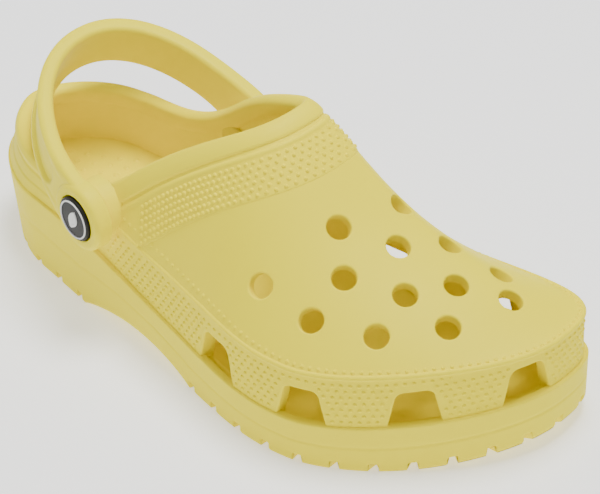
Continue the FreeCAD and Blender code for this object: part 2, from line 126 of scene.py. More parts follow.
def end_fraction(x):
    """0 along the middle of the foot, rising evenly to 1 at the toe's tip and the heel's back."""
    toe = np.clip((x - TOE_START) / (TOE - TOE_START), 0, None)
    return np.maximum(toe, np.clip((HEEL_START - x) / (HEEL_START - HEEL), 0, None))


def round_power(x, inner):
    """Superellipse power of the ends: the toe is squarer on its inner side."""
    return np.where(x < 0, 1.9, np.where(inner, 3.1, 1.9))


def sole_side(x, inner):
    """Y of the sole's edge on one side: the side curve, drawn in to the tip as a superellipse."""
    power = round_power(x, inner)
    cap = np.clip(1 - end_fraction(x) ** power, 0, None) ** (1 / power)
    tip = np.where(x > 0, TIP_Y, BACK_Y)
    side = np.where(inner, inner_side(x), outer_side(x))
    return np.where(cap < 1, tip + (side - tip) * cap, side) + SHIFT


def middle_y(x):
    """Line half way between the sole's two sides."""
    return (inner_side(x) + outer_side(x)) / 2 + SHIFT


def opening_z(x):
    """Height of the foot opening's edge, and out of reach ahead of the opening."""
    return np.where(x < MOUTH_FRONT, topline(x), 999.0)


def gauge(x, y):
    """0 on the foot's ridge and 1 at the sole's edge: superellipse sum of across and along."""
    y = y - SHIFT
    ridge = ridge_y(x)
    inner = y > ridge
    power = round_power(x, inner)
    side = np.where(inner, inner_side(x), outer_side(x))
    across = np.abs((y - ridge) / (side - ridge))
    return (across ** power + end_fraction(x) ** power) ** (1 / power)


def dome_z(x, y):
    """Ridge height falling as one minus a power of the gauge down to the bumper's height."""
    base = ledge_z(x) + bumper(x)
    ridge = ridge_y(x)
    across = (y - SHIFT - ridge) / (inner_side(x) - ridge)
    power = DOME_ROUND - 0.8 * smooth(-40, 20, x) * smooth(0, 0.6, across)
    return base + (ridge_z(x) - base) * (1 - gauge(x, y) ** power)


def dome_normal(x, y):
    """Unit normal of the upper's outside, by central differences."""
    e = 0.4
    dx = (dome_z(x + e, y) - dome_z(x - e, y)) / (2 * e)
    dy = (dome_z(x, y + e) - dome_z(x, y - e)) / (2 * e)
    return unit(np.stack([-dx, -dy, np.ones_like(dx)], -1))


def lining_z(x, y):
    """The outside's height lowered by the wall's thickness measured square to it."""
    return dome_z(x, y) - WALL / dome_normal(x, y)[..., 2]


def tread_z(x):
    """Flat tread, raised under the arch by a sine and sprung up at the toe by a square."""
    arch = np.clip((x - ARCH_BACK) / (ARCH_FRONT - ARCH_BACK), 0, 1)
    spring = np.clip((x - TOE + SPRING_LENGTH) / SPRING_LENGTH, 0, None)
    return ARCH_RISE * np.sin(PI * arch) ** 0.8 + SPRING_RISE * spring ** 2


def edge_table(count=6000):
    """The sole's edge as a closed run of points, with lengths counted from a point near the toe's
    tip and with outward normals."""
    xs = -TOE * np.cos(PI * np.arange(count // 2 + 1) / (count // 2))
    outer = np.stack([xs, sole_side(xs, False)], -1)
    inner = np.stack([xs[-2:0:-1], sole_side(xs[-2:0:-1], True)], -1)
    ring = np.concatenate([outer, inner])
    start = np.argmin(np.abs(ring[:, 0] - (TOE - 4)) + (ring[:, 1] > 12) * 99)
    ring = np.roll(ring, -start, axis=0)
    along = unit(np.roll(ring, -4, 0) - np.roll(ring, 4, 0))
    normal = np.stack([along[:, 1], -along[:, 0]], -1)
    step = np.linalg.norm(np.roll(ring, -1, 0) - ring, axis=-1)
    length = np.concatenate([[0], np.cumsum(step)])
    return length, np.concatenate([ring, ring[:1]]), np.concatenate([normal, normal[:1]])


EDGE_S, EDGE_P, EDGE_N = edge_table()
GIRTH = EDGE_S[-1]


def edge(s, inset):
    """Plan points at length s round the sole's edge, moved inwards, with outward normals."""
    s = np.mod(s, GIRTH)
    point = np.stack([np.interp(s, EDGE_S, EDGE_P[:, k]) for k in (0, 1)], -1)
    normal = unit(np.stack([np.interp(s, EDGE_S, EDGE_N[:, k]) for k in (0, 1)], -1))
    return point - normal * np.broadcast_to(inset, s.shape)[..., None], normal


def round_the_edge(pitch):
    """Even lengths once round the sole's edge, from the heel over the toe and back."""
    return np.linspace(-GIRTH / 2, GIRTH / 2, int(GIRTH / pitch) + 1)


def ledge_at(s):
    """Height of the ledge where the upper meets the sole, at length s round the edge."""
    return ledge_z(edge(s, 1.0)[0][..., 0])


def at_height(plan, z):
    """Plan points lifted to heights z."""
    return np.concatenate([plan, np.broadcast_to(z, plan.shape[:-1])[..., None]], -1)


def wall_inset(z, x):
    """How far the upper's wall stands inside the sole's edge at height z; the heel leans more."""
    heel = np.clip((LEAN_START - x) / LEAN_BLEND, 0, 1)
    return SETBACK + LEAN * (z - 5) + heel * HEEL_LEAN * np.clip(z - LEAN_FOOT, 0, LEAN_HEIGHT)


def crest(s, extra=0.0):
    """Where the wall meets the dome: the height of the dome over the wall's own inset, found by
    halving steps. Extra moves the wall inwards."""
    z, x = np.full(s.shape, 45.0), edge(s, 0.0)[0][..., 0]
    for _ in range(8):
        plan, normal = edge(s, wall_inset(z, x) + extra)
        z = 0.5 * z + 0.5 * dome_z(plan[..., 0], plan[..., 1])
    return edge(s, wall_inset(z, x) + extra)[0], z, normal


# ---- meshes ----
def as_lists(faces):
    """Index faces as plain lists, from an array or from lists."""
    return faces.tolist() if hasattr(faces, "tolist") else faces


def make_piece(name, shape, material, body, node):
    """One smooth mesh object from points in millimetres and index faces, riding on a body."""
    points, faces = shape
    mesh = bpy.data.meshes.new(name)
    points = np.asarray(points, float).reshape(-1, 3) * MM
    mesh.from_pydata(points.tolist(), [], as_lists(faces))
    mesh.shade_smooth()
    mesh.materials.append(material)
    piece = bpy.data.objects.new(name, mesh)
    bpy.context.collection.objects.link(piece)
    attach(piece, body)
    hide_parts(node)
    return piece


def quads(rows, cols, wrap_rows=False, wrap_cols=False):
    """Quad corners of a grid of rows by columns, closed round on request."""
    r, c = np.meshgrid(np.arange(rows if wrap_rows else rows - 1),
                       np.arange(cols if wrap_cols else cols - 1), indexing="ij")
    r1, c1 = (r + 1) % rows, (c + 1) % cols
    return np.stack([r * cols + c, r * cols + c1, r1 * cols + c1, r1 * cols + c], -1).reshape(-1, 4)


def join(*shapes):
    """Several (points, faces) shapes as one."""
    points, faces, base = [], [], 0
    for p, f in shapes:
        p = np.asarray(p, float).reshape(-1, 3)
        points.append(p)
        faces += [[i + base for i in face] for face in as_lists(f)]
        base += len(p)
    return np.concatenate(points), faces


def sheet(grid, wrap_rows=False, wrap_cols=False, turned=False):
    """Shape of a whole grid of points; turned swaps the side its faces look to."""
    faces = quads(*grid.shape[:2], wrap_rows, wrap_cols)
    return grid.reshape(-1, 3), faces[:, ::-1] if turned else faces


def cut_grid(u, v, distance):
    """Move a grid's nodes onto the line where distance(u, v) is 0, and mark each node's side.
    On each grid edge that crosses the line, the nearer end slides onto it by Newton steps."""
    value = distance(u, v)
    snap = np.zeros(u.shape, bool)
    for ends, marks in ((value, snap), (value.T, snap.T)):
        a, b = ends[:-1], ends[1:]
        cross, first = a * b < 0, np.abs(a) <= np.abs(b)
        marks[:-1] |= cross & first
        marks[1:] |= cross & ~first
    pu, pv = u[snap], v[snap]
    cu = (np.abs(np.gradient(u, axis=0)) + np.abs(np.gradient(u, axis=1)))[snap] + 1e-9
    cv = (np.abs(np.gradient(v, axis=0)) + np.abs(np.gradient(v, axis=1)))[snap] + 1e-9
    for _ in range(7):
        g = distance(pu, pv)
        gu = (distance(pu + 1e-3 * cu, pv) - g) * 1e3
        gv = (distance(pu, pv + 1e-3 * cv) - g) * 1e3
        push = g / (gu * gu + gv * gv + 1e-12)
        pu = pu - np.clip(push * gu, -0.7, 0.7) * cu
        pv = pv - np.clip(push * gv, -0.7, 0.7) * cv
    u, v = u.copy(), v.copy()
    u[snap], v[snap] = pu, pv
    side = np.sign(value)
    side[snap] = 0
    return u, v, side


def trim(faces, side):
    """Faces left by a cut: whole quads on the kept side, and halves of quads that the line
    crosses from corner to corner."""
    k = side.reshape(-1)[faces]
    out = faces[(k >= 0).all(1) & (k > 0).any(1)].tolist()
    mixed = (k < 0).any(1) & (k > 0).any(1)
    f, k = faces[mixed], k[mixed]
    for corner in range(4):
        before, after = (corner - 1) % 4, (corner + 1) % 4
        hit = (k[:, corner] > 0) & (k[:, before] <= 0) & (k[:, after] <= 0)
        out += f[hit][:, [before, corner, after]].tolist()
    return out


def nubs(centres, normals, radius, height, sides=8):
    """Low round domes standing on a surface: three rings and a top point each, as one shape."""
    normals = unit(normals)
    helper = np.where(np.abs(normals[:, :1]) < 0.8, [[1.0, 0, 0]], [[0, 1.0, 0]])
    a = unit(np.cross(normals, helper))
    b = np.cross(normals, a)
    turn = np.arange(sides) * 2 * PI / sides
    ring = a[:, None] * np.cos(turn)[:, None] + b[:, None] * np.sin(turn)[:, None]
    radius = np.broadcast_to(np.asarray(radius, float), (len(centres),))[:, None, None]
    height = np.broadcast_to(np.asarray(height, float), (len(centres),))[:, None, None]
    n, base = normals[:, None], centres[:, None]
    rows = [base + ring * radius * k + n * height * h
            for k, h in ((1.15, -0.4), (0.85, 0.35), (0.5, 0.82))]
    points = np.concatenate(rows + [base + n * height], axis=1)
    i = np.arange(sides)
    j = (i + 1) % sides
    one = np.concatenate([np.stack([i, j, j + sides, i + sides], -1) + r * sides for r in (0, 1)])
    tips = np.stack([i + 2 * sides, j + 2 * sides, np.full(sides, 3 * sides)], -1)
    step = (3 * sides + 1) * np.arange(len(centres))[:, None, None]
    faces = (one[None] + step).reshape(-1, 4).tolist() + (tips[None] + step).reshape(-1, 3).tolist()
    return points.reshape(-1, 3), faces


def revolve(profile, count, side):
    """Points of a profile of (radius, depth along the hinge line) turned about that line, on one
    side of the foot; depth counts outwards from the strap's middle."""
    turn = np.arange(count) * 2 * PI / count
    r, d = np.array(profile, float).T
    x = PIVOT[0] + r[:, None] * np.cos(turn)
    z = PIVOT[2] + r[:, None] * np.sin(turn)
    y = PIVOT[1] + side * np.broadcast_to(d[:, None], x.shape)
    faces = quads(len(r), count, wrap_cols=True)
    grid = askew(np.stack([x, y, z], -1))
    return grid.reshape(-1, 3), faces if side > 0 else faces[:, ::-1]


def askew(points):
    """Turn points built square to the foot's line into the hinge's own skewed line."""
    c, s = math.cos(math.radians(-STRAP_YAW)), math.sin(math.radians(-STRAP_YAW))
    x, y = points[..., 0] - PIVOT[0], points[..., 1] - PIVOT[1]
    return np.stack([PIVOT[0] + c * x - s * y, PIVOT[1] + s * x + c * y, points[..., 2]], -1)


# ---- upper: vamp skin, lining and air holes ----
def rib_place(extra):
    """Function from (along, across), each from -1 to 1, to plan points inside the wall's line:
    X by cosine steps, Y between the two sides with steps that shorten towards the edge."""
    s = np.linspace(0, GIRTH, 4001)[:-1]
    plan, _, _ = crest(s, extra)
    x, y = plan[:, 0], plan[:, 1]
    low, high = np.argmin(x), np.argmax(x)
    toe_y = y[high]
    upper = y > np.interp(x, [x[low], x[high]], [y[low], toe_y])
    sides = []
    for part in (~upper, upper):
        order = np.argsort(x[part])
        sides.append((np.concatenate([[x[low]], x[part][order], [x[high]]]),
                      np.concatenate([[y[low]], y[part][order], [toe_y]])))

    def place(u, v):
        px = (x[low] + x[high]) / 2 + (x[high] - x[low]) / 2 * np.sin(PI / 2 * u)
        outer, inner = np.interp(px, *sides[0]), np.interp(px, *sides[1])
        share = 0.4 * v + 0.6 * np.sin(PI / 2 * np.clip(v, -1, 1))
        return px, (outer + inner) / 2 + (inner - outer) / 2 * share

    return place


HOLE_N = dome_normal(HOLES[:, 0], HOLES[:, 1])
HOLE_C = np.concatenate([HOLES, dome_z(HOLES[:, 0], HOLES[:, 1])[:, None]], -1)


def hole_gap(x, y, z, radius):
    """Distance to the nearest air hole's cylinder, positive outside it."""
    d = np.stack([x, y, z], -1)[..., None, :] - HOLE_C
    along = (d * HOLE_N).sum(-1, keepdims=True)
    return (np.linalg.norm(d - along * HOLE_N, axis=-1) - radius).min(-1)


def perforated(height, depth, radius, rows, cols, below, turned):
    """A grid over the plan at a height, cut round the air holes and away from the foot opening.
    Depth is how far it lies under the upper's outside."""
    place = rib_place(depth)
    u, v = np.meshgrid(np.linspace(-1, 1, rows), np.linspace(-1, 1, cols), indexing="ij")

    def distance(a, b):
        x, y = place(a, b)
        return hole_gap(x, y, height(x, y), radius)

    u, v, side = cut_grid(u, v, distance)
    x, y = place(u, v)
    z = height(x, y)
    outwards = dome_normal(x, y) * depth
    px, py = x + outwards[..., 0], y + outwards[..., 1]
    gone = dome_z(px, py) > opening_z(px) - below
    side = np.where(gone, -9, side)
    faces = quads(rows, cols)
    faces = faces[~gone.reshape(-1)[faces].any(1)]
    faces = trim(faces[:, ::-1] if turned else faces, side)
    return np.stack([x, y, z], -1).reshape(-1, 3), faces


def hole_rims(count=72):
    """For each air hole: a thin ring on the skin, a quarter-round edge and a bore to the lining."""
    turn = np.arange(count) * 2 * PI / count
    shapes = []
    for centre, n in zip(HOLE_C, HOLE_N):
        a = unit(np.cross(n, [0, 1.0, 0]))
        b = np.cross(n, a)
        around = a * np.cos(turn)[:, None] + b * np.sin(turn)[:, None]

        def level(radius, height):
            """Ring where the hole's cylinder meets a height surface, by sliding along its axis."""
            h = np.zeros(count)
            for _ in range(12):
                p = centre + around * radius + n * h[:, None]
                h = h - (p[:, 2] - height(p[:, 0], p[:, 1])) * n[2]
            return h

        rings = []
        for k in (0.9, 0.0):
            r = HOLE_R + HOLE_FILLET + k
            rings.append(centre + around * r + n * (level(r, dome_z) + 0.02)[:, None])
        top = level(HOLE_R + HOLE_FILLET, dome_z)
        for psi in np.linspace(0.15, PI / 2, 6):
            r = HOLE_R + HOLE_FILLET * (1 - math.sin(psi))
            rings.append(centre + around * r
                         + n * (top + 0.02 - HOLE_FILLET * (1 - math.cos(psi)))[:, None])
        end = level(HOLE_R, lining_z)
        start = top - HOLE_FILLET
        for k in (0.33, 0.66, 1.0):
            h = start + (end - 0.25 - start) * k
            rings.append(centre + around * HOLE_R + n * h[:, None])
        shapes.append(sheet(np.stack(rings), wrap_cols=True))
    return join(*shapes)


# ---- upper: bumper band with its vents ----
def corner_gap(p, q, radius):
    """Distance to a rounded corner, negative inside it. P and q are the distances past its two
    sides, each counted from the centre of the rounding."""
    return np.hypot(np.maximum(p, 0), np.maximum(q, 0)) + np.minimum(np.maximum(p, q), 0) - radius


def vent_gap(s, z):
    """Distance to the nearest vent in the unrolled wall (length, height above the ledge): a
    trapezoid with rounded top corners, negative inside it."""
    s = (s + GIRTH / 2) % GIRTH - GIRTH / 2
    nearest = np.clip(np.round(s / VENT_PITCH), -VENTS_EACH_SIDE, VENTS_EACH_SIDE)
    across = np.abs(s - nearest * VENT_PITCH)
    half = VENT_FOOT / 2 - (VENT_FOOT - VENT_TOP) / 2 * z / VENT_HEIGHT
    p = (across - half) * VENT_COSINE + VENT_ROUND
    return corner_gap(p, z - VENT_HEIGHT + VENT_ROUND, VENT_ROUND)


def wall_top(s):
    """The wall ends where the dome begins, or under the collar's lip."""
    plan, z, _ = crest(s)
    return np.minimum(z, opening_z(plan[..., 0]) - 1.0)


def wall_point(s, z, outwards=0.0):
    """Points and normals of the leaning side wall at length s and height z, moved outwards."""
    plan, normal = edge(s, wall_inset(z, edge(s, 0.0)[0][..., 0]) - outwards)
    return at_height(plan, z), at_height(normal, LEAN)


def bumper_wall(rows=44, pitch=0.8):
    """The upper's side wall from the ledge to the dome, cut round the vents. At the heel two
    soft steps run along it."""
    u, v = np.meshgrid(round_the_edge(pitch), np.linspace(0, 1, rows), indexing="ij")

    def height(a, b):
        foot = ledge_at(a) - BUMPER_SINK
        return foot, (wall_top(a) - foot) * b

    def distance(a, b):
        return vent_gap(a, height(a, b)[1] - BUMPER_SINK) - VENT_FILLET

    u, v, side = cut_grid(u, v, distance)
    foot, rise = height(u, v)
    x = edge(u, 1.0)[0][..., 0]
    steps = 0.35 * (1 - smooth(0.30, 0.36, v)) + 0.35 * (1 - smooth(0.62, 0.68, v))
    points, _ = wall_point(u, foot + rise, steps * smooth(-62, -80, x))
    return points.reshape(-1, 3), trim(quads(*u.shape), side)


def vent_outline(middle, grow, turn):
    """Outline of a vent moved outwards by grow, as lengths and heights above the ledge: at each
    angle round the vent's middle, the radius is found by bisection."""
    low, high = np.zeros(turn.shape), np.full(turn.shape, 30.0)
    for _ in range(40):
        r = (low + high) / 2
        s, z = middle + r * np.cos(turn), VENT_MIDDLE + r * np.sin(turn)
        out = (vent_gap(s, z) > grow) | (z < -VENT_SINK - grow)
        low, high = np.where(out, low, r), np.where(out, r, high)
    return middle + low * np.cos(turn), VENT_MIDDLE + low * np.sin(turn)


def vent_rims(count=120):
    """For each vent: a rounded outer edge and a tunnel through the wall, following its outline."""
    turn = np.arange(count) * 2 * PI / count + PI / count
    steps = [(VENT_FILLET + 0.5, -0.02), (VENT_FILLET, -0.02)]
    steps += [(VENT_FILLET * (1 - math.sin(a)), VENT_FILLET * (1 - math.cos(a)))
              for a in np.linspace(0.2, PI / 2, 5)]
    steps += [(0, 2.0), (0, WALL + 1.5)]
    shapes = []
    for k in range(-VENTS_EACH_SIDE, VENTS_EACH_SIDE + 1):
        rings = []
        for grow, deep in steps:
            s, rise = vent_outline(k * VENT_PITCH, grow, turn)
            rings.append(wall_point(s, ledge_at(s) + rise, -deep)[0])
        shapes.append(sheet(np.stack(rings), wrap_cols=True, turned=True))
    return join(*shapes)


def bead_size(x):
    """Full size of the cord ahead of the rivets, fading to nothing behind them."""
    return smooth(-66, -34, x)


def bumper_bead(count=900, around=12):
    """A smooth half-sunk cord along the top of the bumper, thinning out behind the rivets."""
    s = np.linspace(-GIRTH / 2, GIRTH / 2, count, endpoint=False)
    plan, z, normal = crest(s)
    size = bead_size(plan[:, 0])
    s, plan, z, normal, size = (a[size > 0.01] for a in (s, plan, z, normal, size))
    out = unit(at_height(normal, 0.0) + dome_normal(plan[:, 0], plan[:, 1]))
    centre = at_height(plan, z) - out * (1.0 - 0.45 * size[:, None])
    up = unit(np.cross(np.cross(out, [0, 0, 1.0]), out))
    turn = np.arange(around) * 2 * PI / around
    ring = out[:, None] * np.cos(turn)[:, None] + up[:, None] * np.sin(turn)[:, None]
    grid = centre[:, None] + ring * (1.15 * size[:, None, None] + 0.05)
    return sheet(grid, wrap_cols=True)


def bumper_nubs(pitch=3.7, rise=3.05, rows=8, smallest=0.35):
    """Staggered nubs over the bumper between its foot and the cord, and one row above it. They
    shrink towards the rivets, the cord and the vents, and the smallest are left out."""
    centres, normals, sizes = [], [], []
    count = int(GIRTH / pitch)
    for row in range(rows):
        s = (np.arange(count) + (row % 2) * 0.5) * GIRTH / count - GIRTH / 2
        x = edge(s, 1.0)[0][..., 0]
        foot, top = ledge_z(x), crest(s)[1]
        z = foot + 2.2 + row * rise
        size = smooth(-64, -40, x) * smooth(0, 0.9, top - 2.4 - z)
        size = size * smooth(0.6, 1.5, vent_gap(s, z - foot) - 1.0)
        keep = size > smallest
        p, n = wall_point(s[keep], z[keep])
        centres.append(p)
        normals.append(n)
        sizes.append(size[keep])
    plan, z, normal = crest((np.arange(count) + 0.25) * GIRTH / count - GIRTH / 2)
    size = smooth(-60, -38, plan[:, 0])
    keep = size > smallest
    n = dome_normal(plan[:, 0], plan[:, 1])
    shift = plan - normal * 1.9
    centres.append(at_height(shift, dome_z(shift[:, 0], shift[:, 1]))[keep])
    normals.append(n[keep])
    sizes.append(size[keep])
    sizes = np.concatenate(sizes)
    return nubs(np.concatenate(centres), np.concatenate(normals), 0.95 * sizes, 0.62 * sizes)


def inner_wall(rows=26, pitch=1.5):
    """Inside of the side wall, from the footbed up to the lining or under the lip."""
    u, v = np.meshgrid(round_the_edge(pitch), np.linspace(0, 1, rows), indexing="ij")

    def height(a, b):
        plan = crest(a, WALL)[0]
        high = np.minimum(lining_z(plan[..., 0], plan[..., 1]), opening_z(plan[..., 0]) - 1.5)
        low = footbed(plan[..., 0]) + 1.5
        return low + (high - low) * b

    def distance(a, b):
        return vent_gap(a, height(a, b) - ledge_at(a)) - 0.02

    u, v, side = cut_grid(u, v, distance)
    points, _ = wall_point(u, height(u, v), -WALL)
    return points.reshape(-1, 3), trim(quads(*u.shape)[:, ::-1], side)


# ---- upper: collar ----
CENTRE = np.array([-60.0, 8.0])  # middle of the foot opening in plan


def polar_edge(inset):
    """The sole's edge moved inwards, as a radius over the angle round the opening's middle."""
    plan = edge(np.linspace(0, GIRTH, 4001)[:-1], inset)[0] - CENTRE
    angle, radius = np.arctan2(plan[:, 1], plan[:, 0]), np.hypot(plan[:, 0], plan[:, 1])
    order = np.argsort(angle)
    angle, radius = angle[order], radius[order]
    return np.concatenate([angle - 2 * PI, angle, angle + 2 * PI]), np.tile(radius, 3)


EDGE_0, EDGE_6 = polar_edge(0.0), polar_edge(6.0)


def outside_field(p):
    """About the distance outside the upper, from the dome and the side wall together, with the
    larger of the two taken smoothly."""
    x, y, z = p[..., 0], p[..., 1], p[..., 2]
    normal = dome_normal(x, y)
    over = (z - dome_z(x, y)) * normal[..., 2]
    angle, radius = np.arctan2(y - CENTRE[1], x - CENTRE[0]), np.hypot(x - CENTRE[0], y - CENTRE[1])
    r0, r6 = np.interp(angle, *EDGE_0), np.interp(angle, *EDGE_6)
    beyond = radius - r0 - (r6 - r0) / 6 * wall_inset(z, x)
    blend = 0.6
    return (over + beyond + np.sqrt((over - beyond) ** 2 + blend * blend)) / 2


def field_normal(p):
    """Unit slope of the field outside the upper, by central differences."""
    e = 0.3
    grad = [outside_field(p + d) - outside_field(p - d) for d in np.eye(3) * e]
    return unit(np.stack(grad, -1))


def collar_lines(count=720, step=1.0):
    """Lines that start on the opening's edge and run down over the outside, square to the edge:
    a grid of points and outward normals, a row for each line."""
    theta = np.arange(count) * 2 * PI / count
    theta = theta + 0.25 * np.sin(theta * 2)
    ray = np.stack([np.cos(theta), np.sin(theta)], -1)
    low, high = np.zeros(count), np.full(count, 110.0)
    for _ in range(40):
        r = (low + high) / 2
        plan = CENTRE + ray * r[:, None]
        out = outside_field(at_height(plan, topline(plan[:, 0]))) > 0
        low, high = np.where(out, low, r), np.where(out, r, high)
    rim = at_height(CENTRE + ray * low[:, None], topline(CENTRE[0] + ray[:, 0] * low))
    length = np.concatenate([[0], np.cumsum(np.linalg.norm(np.roll(rim, -1, 0) - rim, axis=-1))])
    even = np.linspace(0, length[-1], count, endpoint=False)
    closed = np.concatenate([rim, rim[:1]])
    p = np.stack([np.interp(even, length, closed[:, k]) for k in range(3)], -1)
    along = unit(np.roll(p, -3, 0) - np.roll(p, 3, 0))
    n = field_normal(p)
    down = unit(np.cross(along, n))
    points, normals = [p], [n]
    for _ in range(int(COLLAR_REACH / step)):
        p = p + down * step
        for _ in range(3):
            n = field_normal(p)
            p = p - n * outside_field(p)[:, None]
        down = unit(down - n * (down * n).sum(-1, keepdims=True))
        blur = sum(np.roll(down, k, 0) for k in range(-4, 5))
        down = unit(blur - n * (blur * n).sum(-1, keepdims=True))
        points.append(p)
        normals.append(n)
    return np.stack(points, 1), np.stack(normals, 1), length[-1]


LINES, LINE_N, RIM_LENGTH = collar_lines()


def along_lines(w):
    """Points and normals at distance w down every line, carried on straight above the rim."""
    w = np.broadcast_to(w, LINES.shape[:1]).astype(float)
    i = np.clip(np.floor(w), 0, LINES.shape[1] - 2).astype(int)
    t, row = (w - i)[:, None], np.arange(len(w))
    return (LINES[row, i] * (1 - t) + LINES[row, i + 1] * t,
            unit(LINE_N[row, i] * (1 - np.clip(t, 0, 1)) + LINE_N[row, i + 1] * np.clip(t, 0, 1)))


def lip_width():
    """Width of the rolled lip on each line: narrow at the back, wider ahead of the rivets."""
    return 5.5 + 3.0 * smooth(-88, -55, LINES[:, 0, 0])


def collar():
    """Rolled lip with a groove and a thin ridge below it, then the ground of the nub band.
    The section is swept along the opening's edge and follows the upper's own surface. Behind the
    rivets and on the bumper, the part below the lip sinks out of sight."""
    lip = lip_width()
    front, sunk = smooth(-66, -44, LINES[:, 0, 0]), 0.6
    section = [(8.5 - k * 1.5, -WALL - h)
               for k, h in enumerate((-0.7, 0.1, 0.35, LIP_UNDER, LIP_UNDER))]
    middle, half = (LIP_RISE - WALL - LIP_UNDER) / 2, (LIP_RISE + WALL + LIP_UNDER) / 2
    for a in np.linspace(-PI / 2, PI / 2, 13)[1:-1]:
        section.append((1.4 - 2.6 * math.cos(a) ** 0.8, middle + half * math.sin(a)))
    grid = [along_lines(w) for w, _ in section]
    rows = [p + n * h for (p, n), (_, h) in zip(grid, section)]
    for k in np.linspace(0, 1, 9):
        p, n = along_lines(1.4 + (lip - 3.0) * k)
        rows.append(p + n * (LIP_RISE + 0.25 * math.sin(PI * k)))
    for back, h in ((1.2, 1.18), (0.8, 1.0), (0.4, 0.68), (0.15, 0.3), (0, -0.15)):
        p, n = along_lines(lip - back)
        rows.append(p + n * h)
    groove_and_ridge = [(0.5, -0.35), (1.0, -0.2), (1.4, 0.25), (1.9, 0.72), (2.6, 0.9),
                        (3.3, 0.78), (3.8, 0.4)]
    ground = [(4.2 + k, 0.3) for k in range(17)]
    foot = [(20.7, 0.24), (21.0, -0.05), (21.1, -0.5)]
    for more, h in groove_and_ridge + ground + foot:
        p, n = along_lines(np.minimum(lip + more, COLLAR_REACH - 0.5))
        clear = front * smooth(1, 5, p[:, 2] - ledge_z(p[:, 0]) - bumper(p[:, 0]) - 3)
        rows.append(p + n * ((h + sunk) * clear - sunk)[:, None])
    return sheet(np.stack(rows), wrap_cols=True)


def collar_nubs(pitch=2.75, rise=2.7, rows=6):
    """Pointed nubs in staggered rows over the band below the collar's ridge. None stand behind
    the rivets, on the bumper or under the strap's bosses."""
    centres, normals = [], []
    lip = lip_width()
    count = int(RIM_LENGTH / pitch)
    for row in range(rows):
        p, n = along_lines(lip + 5.5 + row * rise)
        i = (np.arange(count) + 0.5 * (row % 2)) * len(p) / count
        a, t = i.astype(int) % len(p), (i % 1)[:, None]
        p = p[a] * (1 - t) + p[(a + 1) % len(p)] * t
        n = unit(n[a] * (1 - t) + n[(a + 1) % len(n)] * t)
        rim = LINES[a, 0, 0]
        off_boss = np.hypot(p[:, 0] - PIVOT[0], p[:, 2] - PIVOT[2]) > BOSS_R + 3
        keep = (rim > -52) & (p[:, 2] > ledge_z(p[:, 0]) + bumper(p[:, 0]) + 7) & off_boss
        centres.append(p[keep] + n[keep] * 0.3)
        normals.append(n[keep])
    return nubs(np.concatenate(centres), np.concatenate(normals), 1.0, 0.85)


def pads():
    """Round pads under the strap's bosses, and the seats of the rivet caps inside the shoe."""
    outer = [(PAD_R, 36.0), (PAD_R, 42.6), (PAD_R - 0.3, 43.3), (PAD_R - 1.0, 43.6), (0.2, 43.6)]
    inner = [(10.5, 38.0), (10.5, 34.2), (10.1, 33.8), (9.6, 33.65), (0.2, 33.65)]
    return join(*[revolve(p, 72, side) for p in (outer, inner[::-1]) for side in (-1, 1)])


# ---- sole ----
def sole_inset(x, z):
    """How far the sole's side draws in below the ledge, in proportion to the depth; the heel
    draws in more."""
    draw = 1.2 + 3.0 * np.clip((ARCH_BACK - x) / 50, 0, 1)
    return draw * (50 - z) / 52


def notch_gap(s, z, x):
    """Distance to the nearest tread notch in the unrolled side: a box with rounded top corners."""
    k = np.round(s / NOTCH_PITCH)
    p = np.abs(s - k * NOTCH_PITCH) - NOTCH_WIDTH / 2 + NOTCH_ROUND
    skip = ((x > ARCH_BACK - 2) & (x < ARCH_FRONT)) | (np.abs(k * NOTCH_PITCH) > NOTCH_REACH)
    return np.where(skip, 9.0, corner_gap(p, z - NOTCH_HEIGHT + NOTCH_ROUND, NOTCH_ROUND))


def sole_side_wall(pitch=0.42):
    """Side of the sole from the tread to the ledge: lower edge rounded, notches sunk into it, a
    faint line half way up, and the top rolled over onto the ledge."""
    s = round_the_edge(pitch)
    v = np.concatenate([np.linspace(0, 1, 13)[:-1] * 0.2, 0.2 + 0.8 * np.linspace(0, 1, 26)])
    u, v = np.meshgrid(s, v, indexing="ij")
    x = edge(u, 0.0)[0][..., 0]
    low, high = tread_z(x), ledge_z(x) - 0.5
    rise = (high - low) * v
    lower_edge = 0.6 * (1 - smooth(0, 1.3, rise))
    line = 0.35 * np.exp(-((rise - 0.55 * (high - low)) / 0.45) ** 2)
    notch = NOTCH_DEPTH * (1 - smooth(-0.25, 0.25, notch_gap(u, rise, x)))
    inset = sole_inset(x, low + rise) + lower_edge + line + notch
    wall = at_height(edge(u, inset)[0], low + rise)
    top = []
    for up, inwards in ((0.15, 0.12), (0.4, 0.45), (0.5, 0.9), (0.5, 3.2)):
        plan, _ = edge(s, sole_inset(x[:, 0], high[:, 0]) + inwards)
        top.append(at_height(plan, high[:, 0] + up))
    return sheet(np.concatenate([wall, np.stack(top, 1)], axis=1))


def fan(s, inset, fractions):
    """Plan grid of straight lines from a spine along the middle of the foot out to the edge, with
    a point at each of the fractions."""
    plan, _ = edge(s, inset)
    x = edge(s, 0.0)[0][:, 0]
    spine_x = np.clip(x, HEEL + 32, TOE - 48)
    spine = np.stack([spine_x, middle_y(spine_x)], -1)
    return spine[:, None] + (plan - spine)[:, None] * fractions[None, :, None]


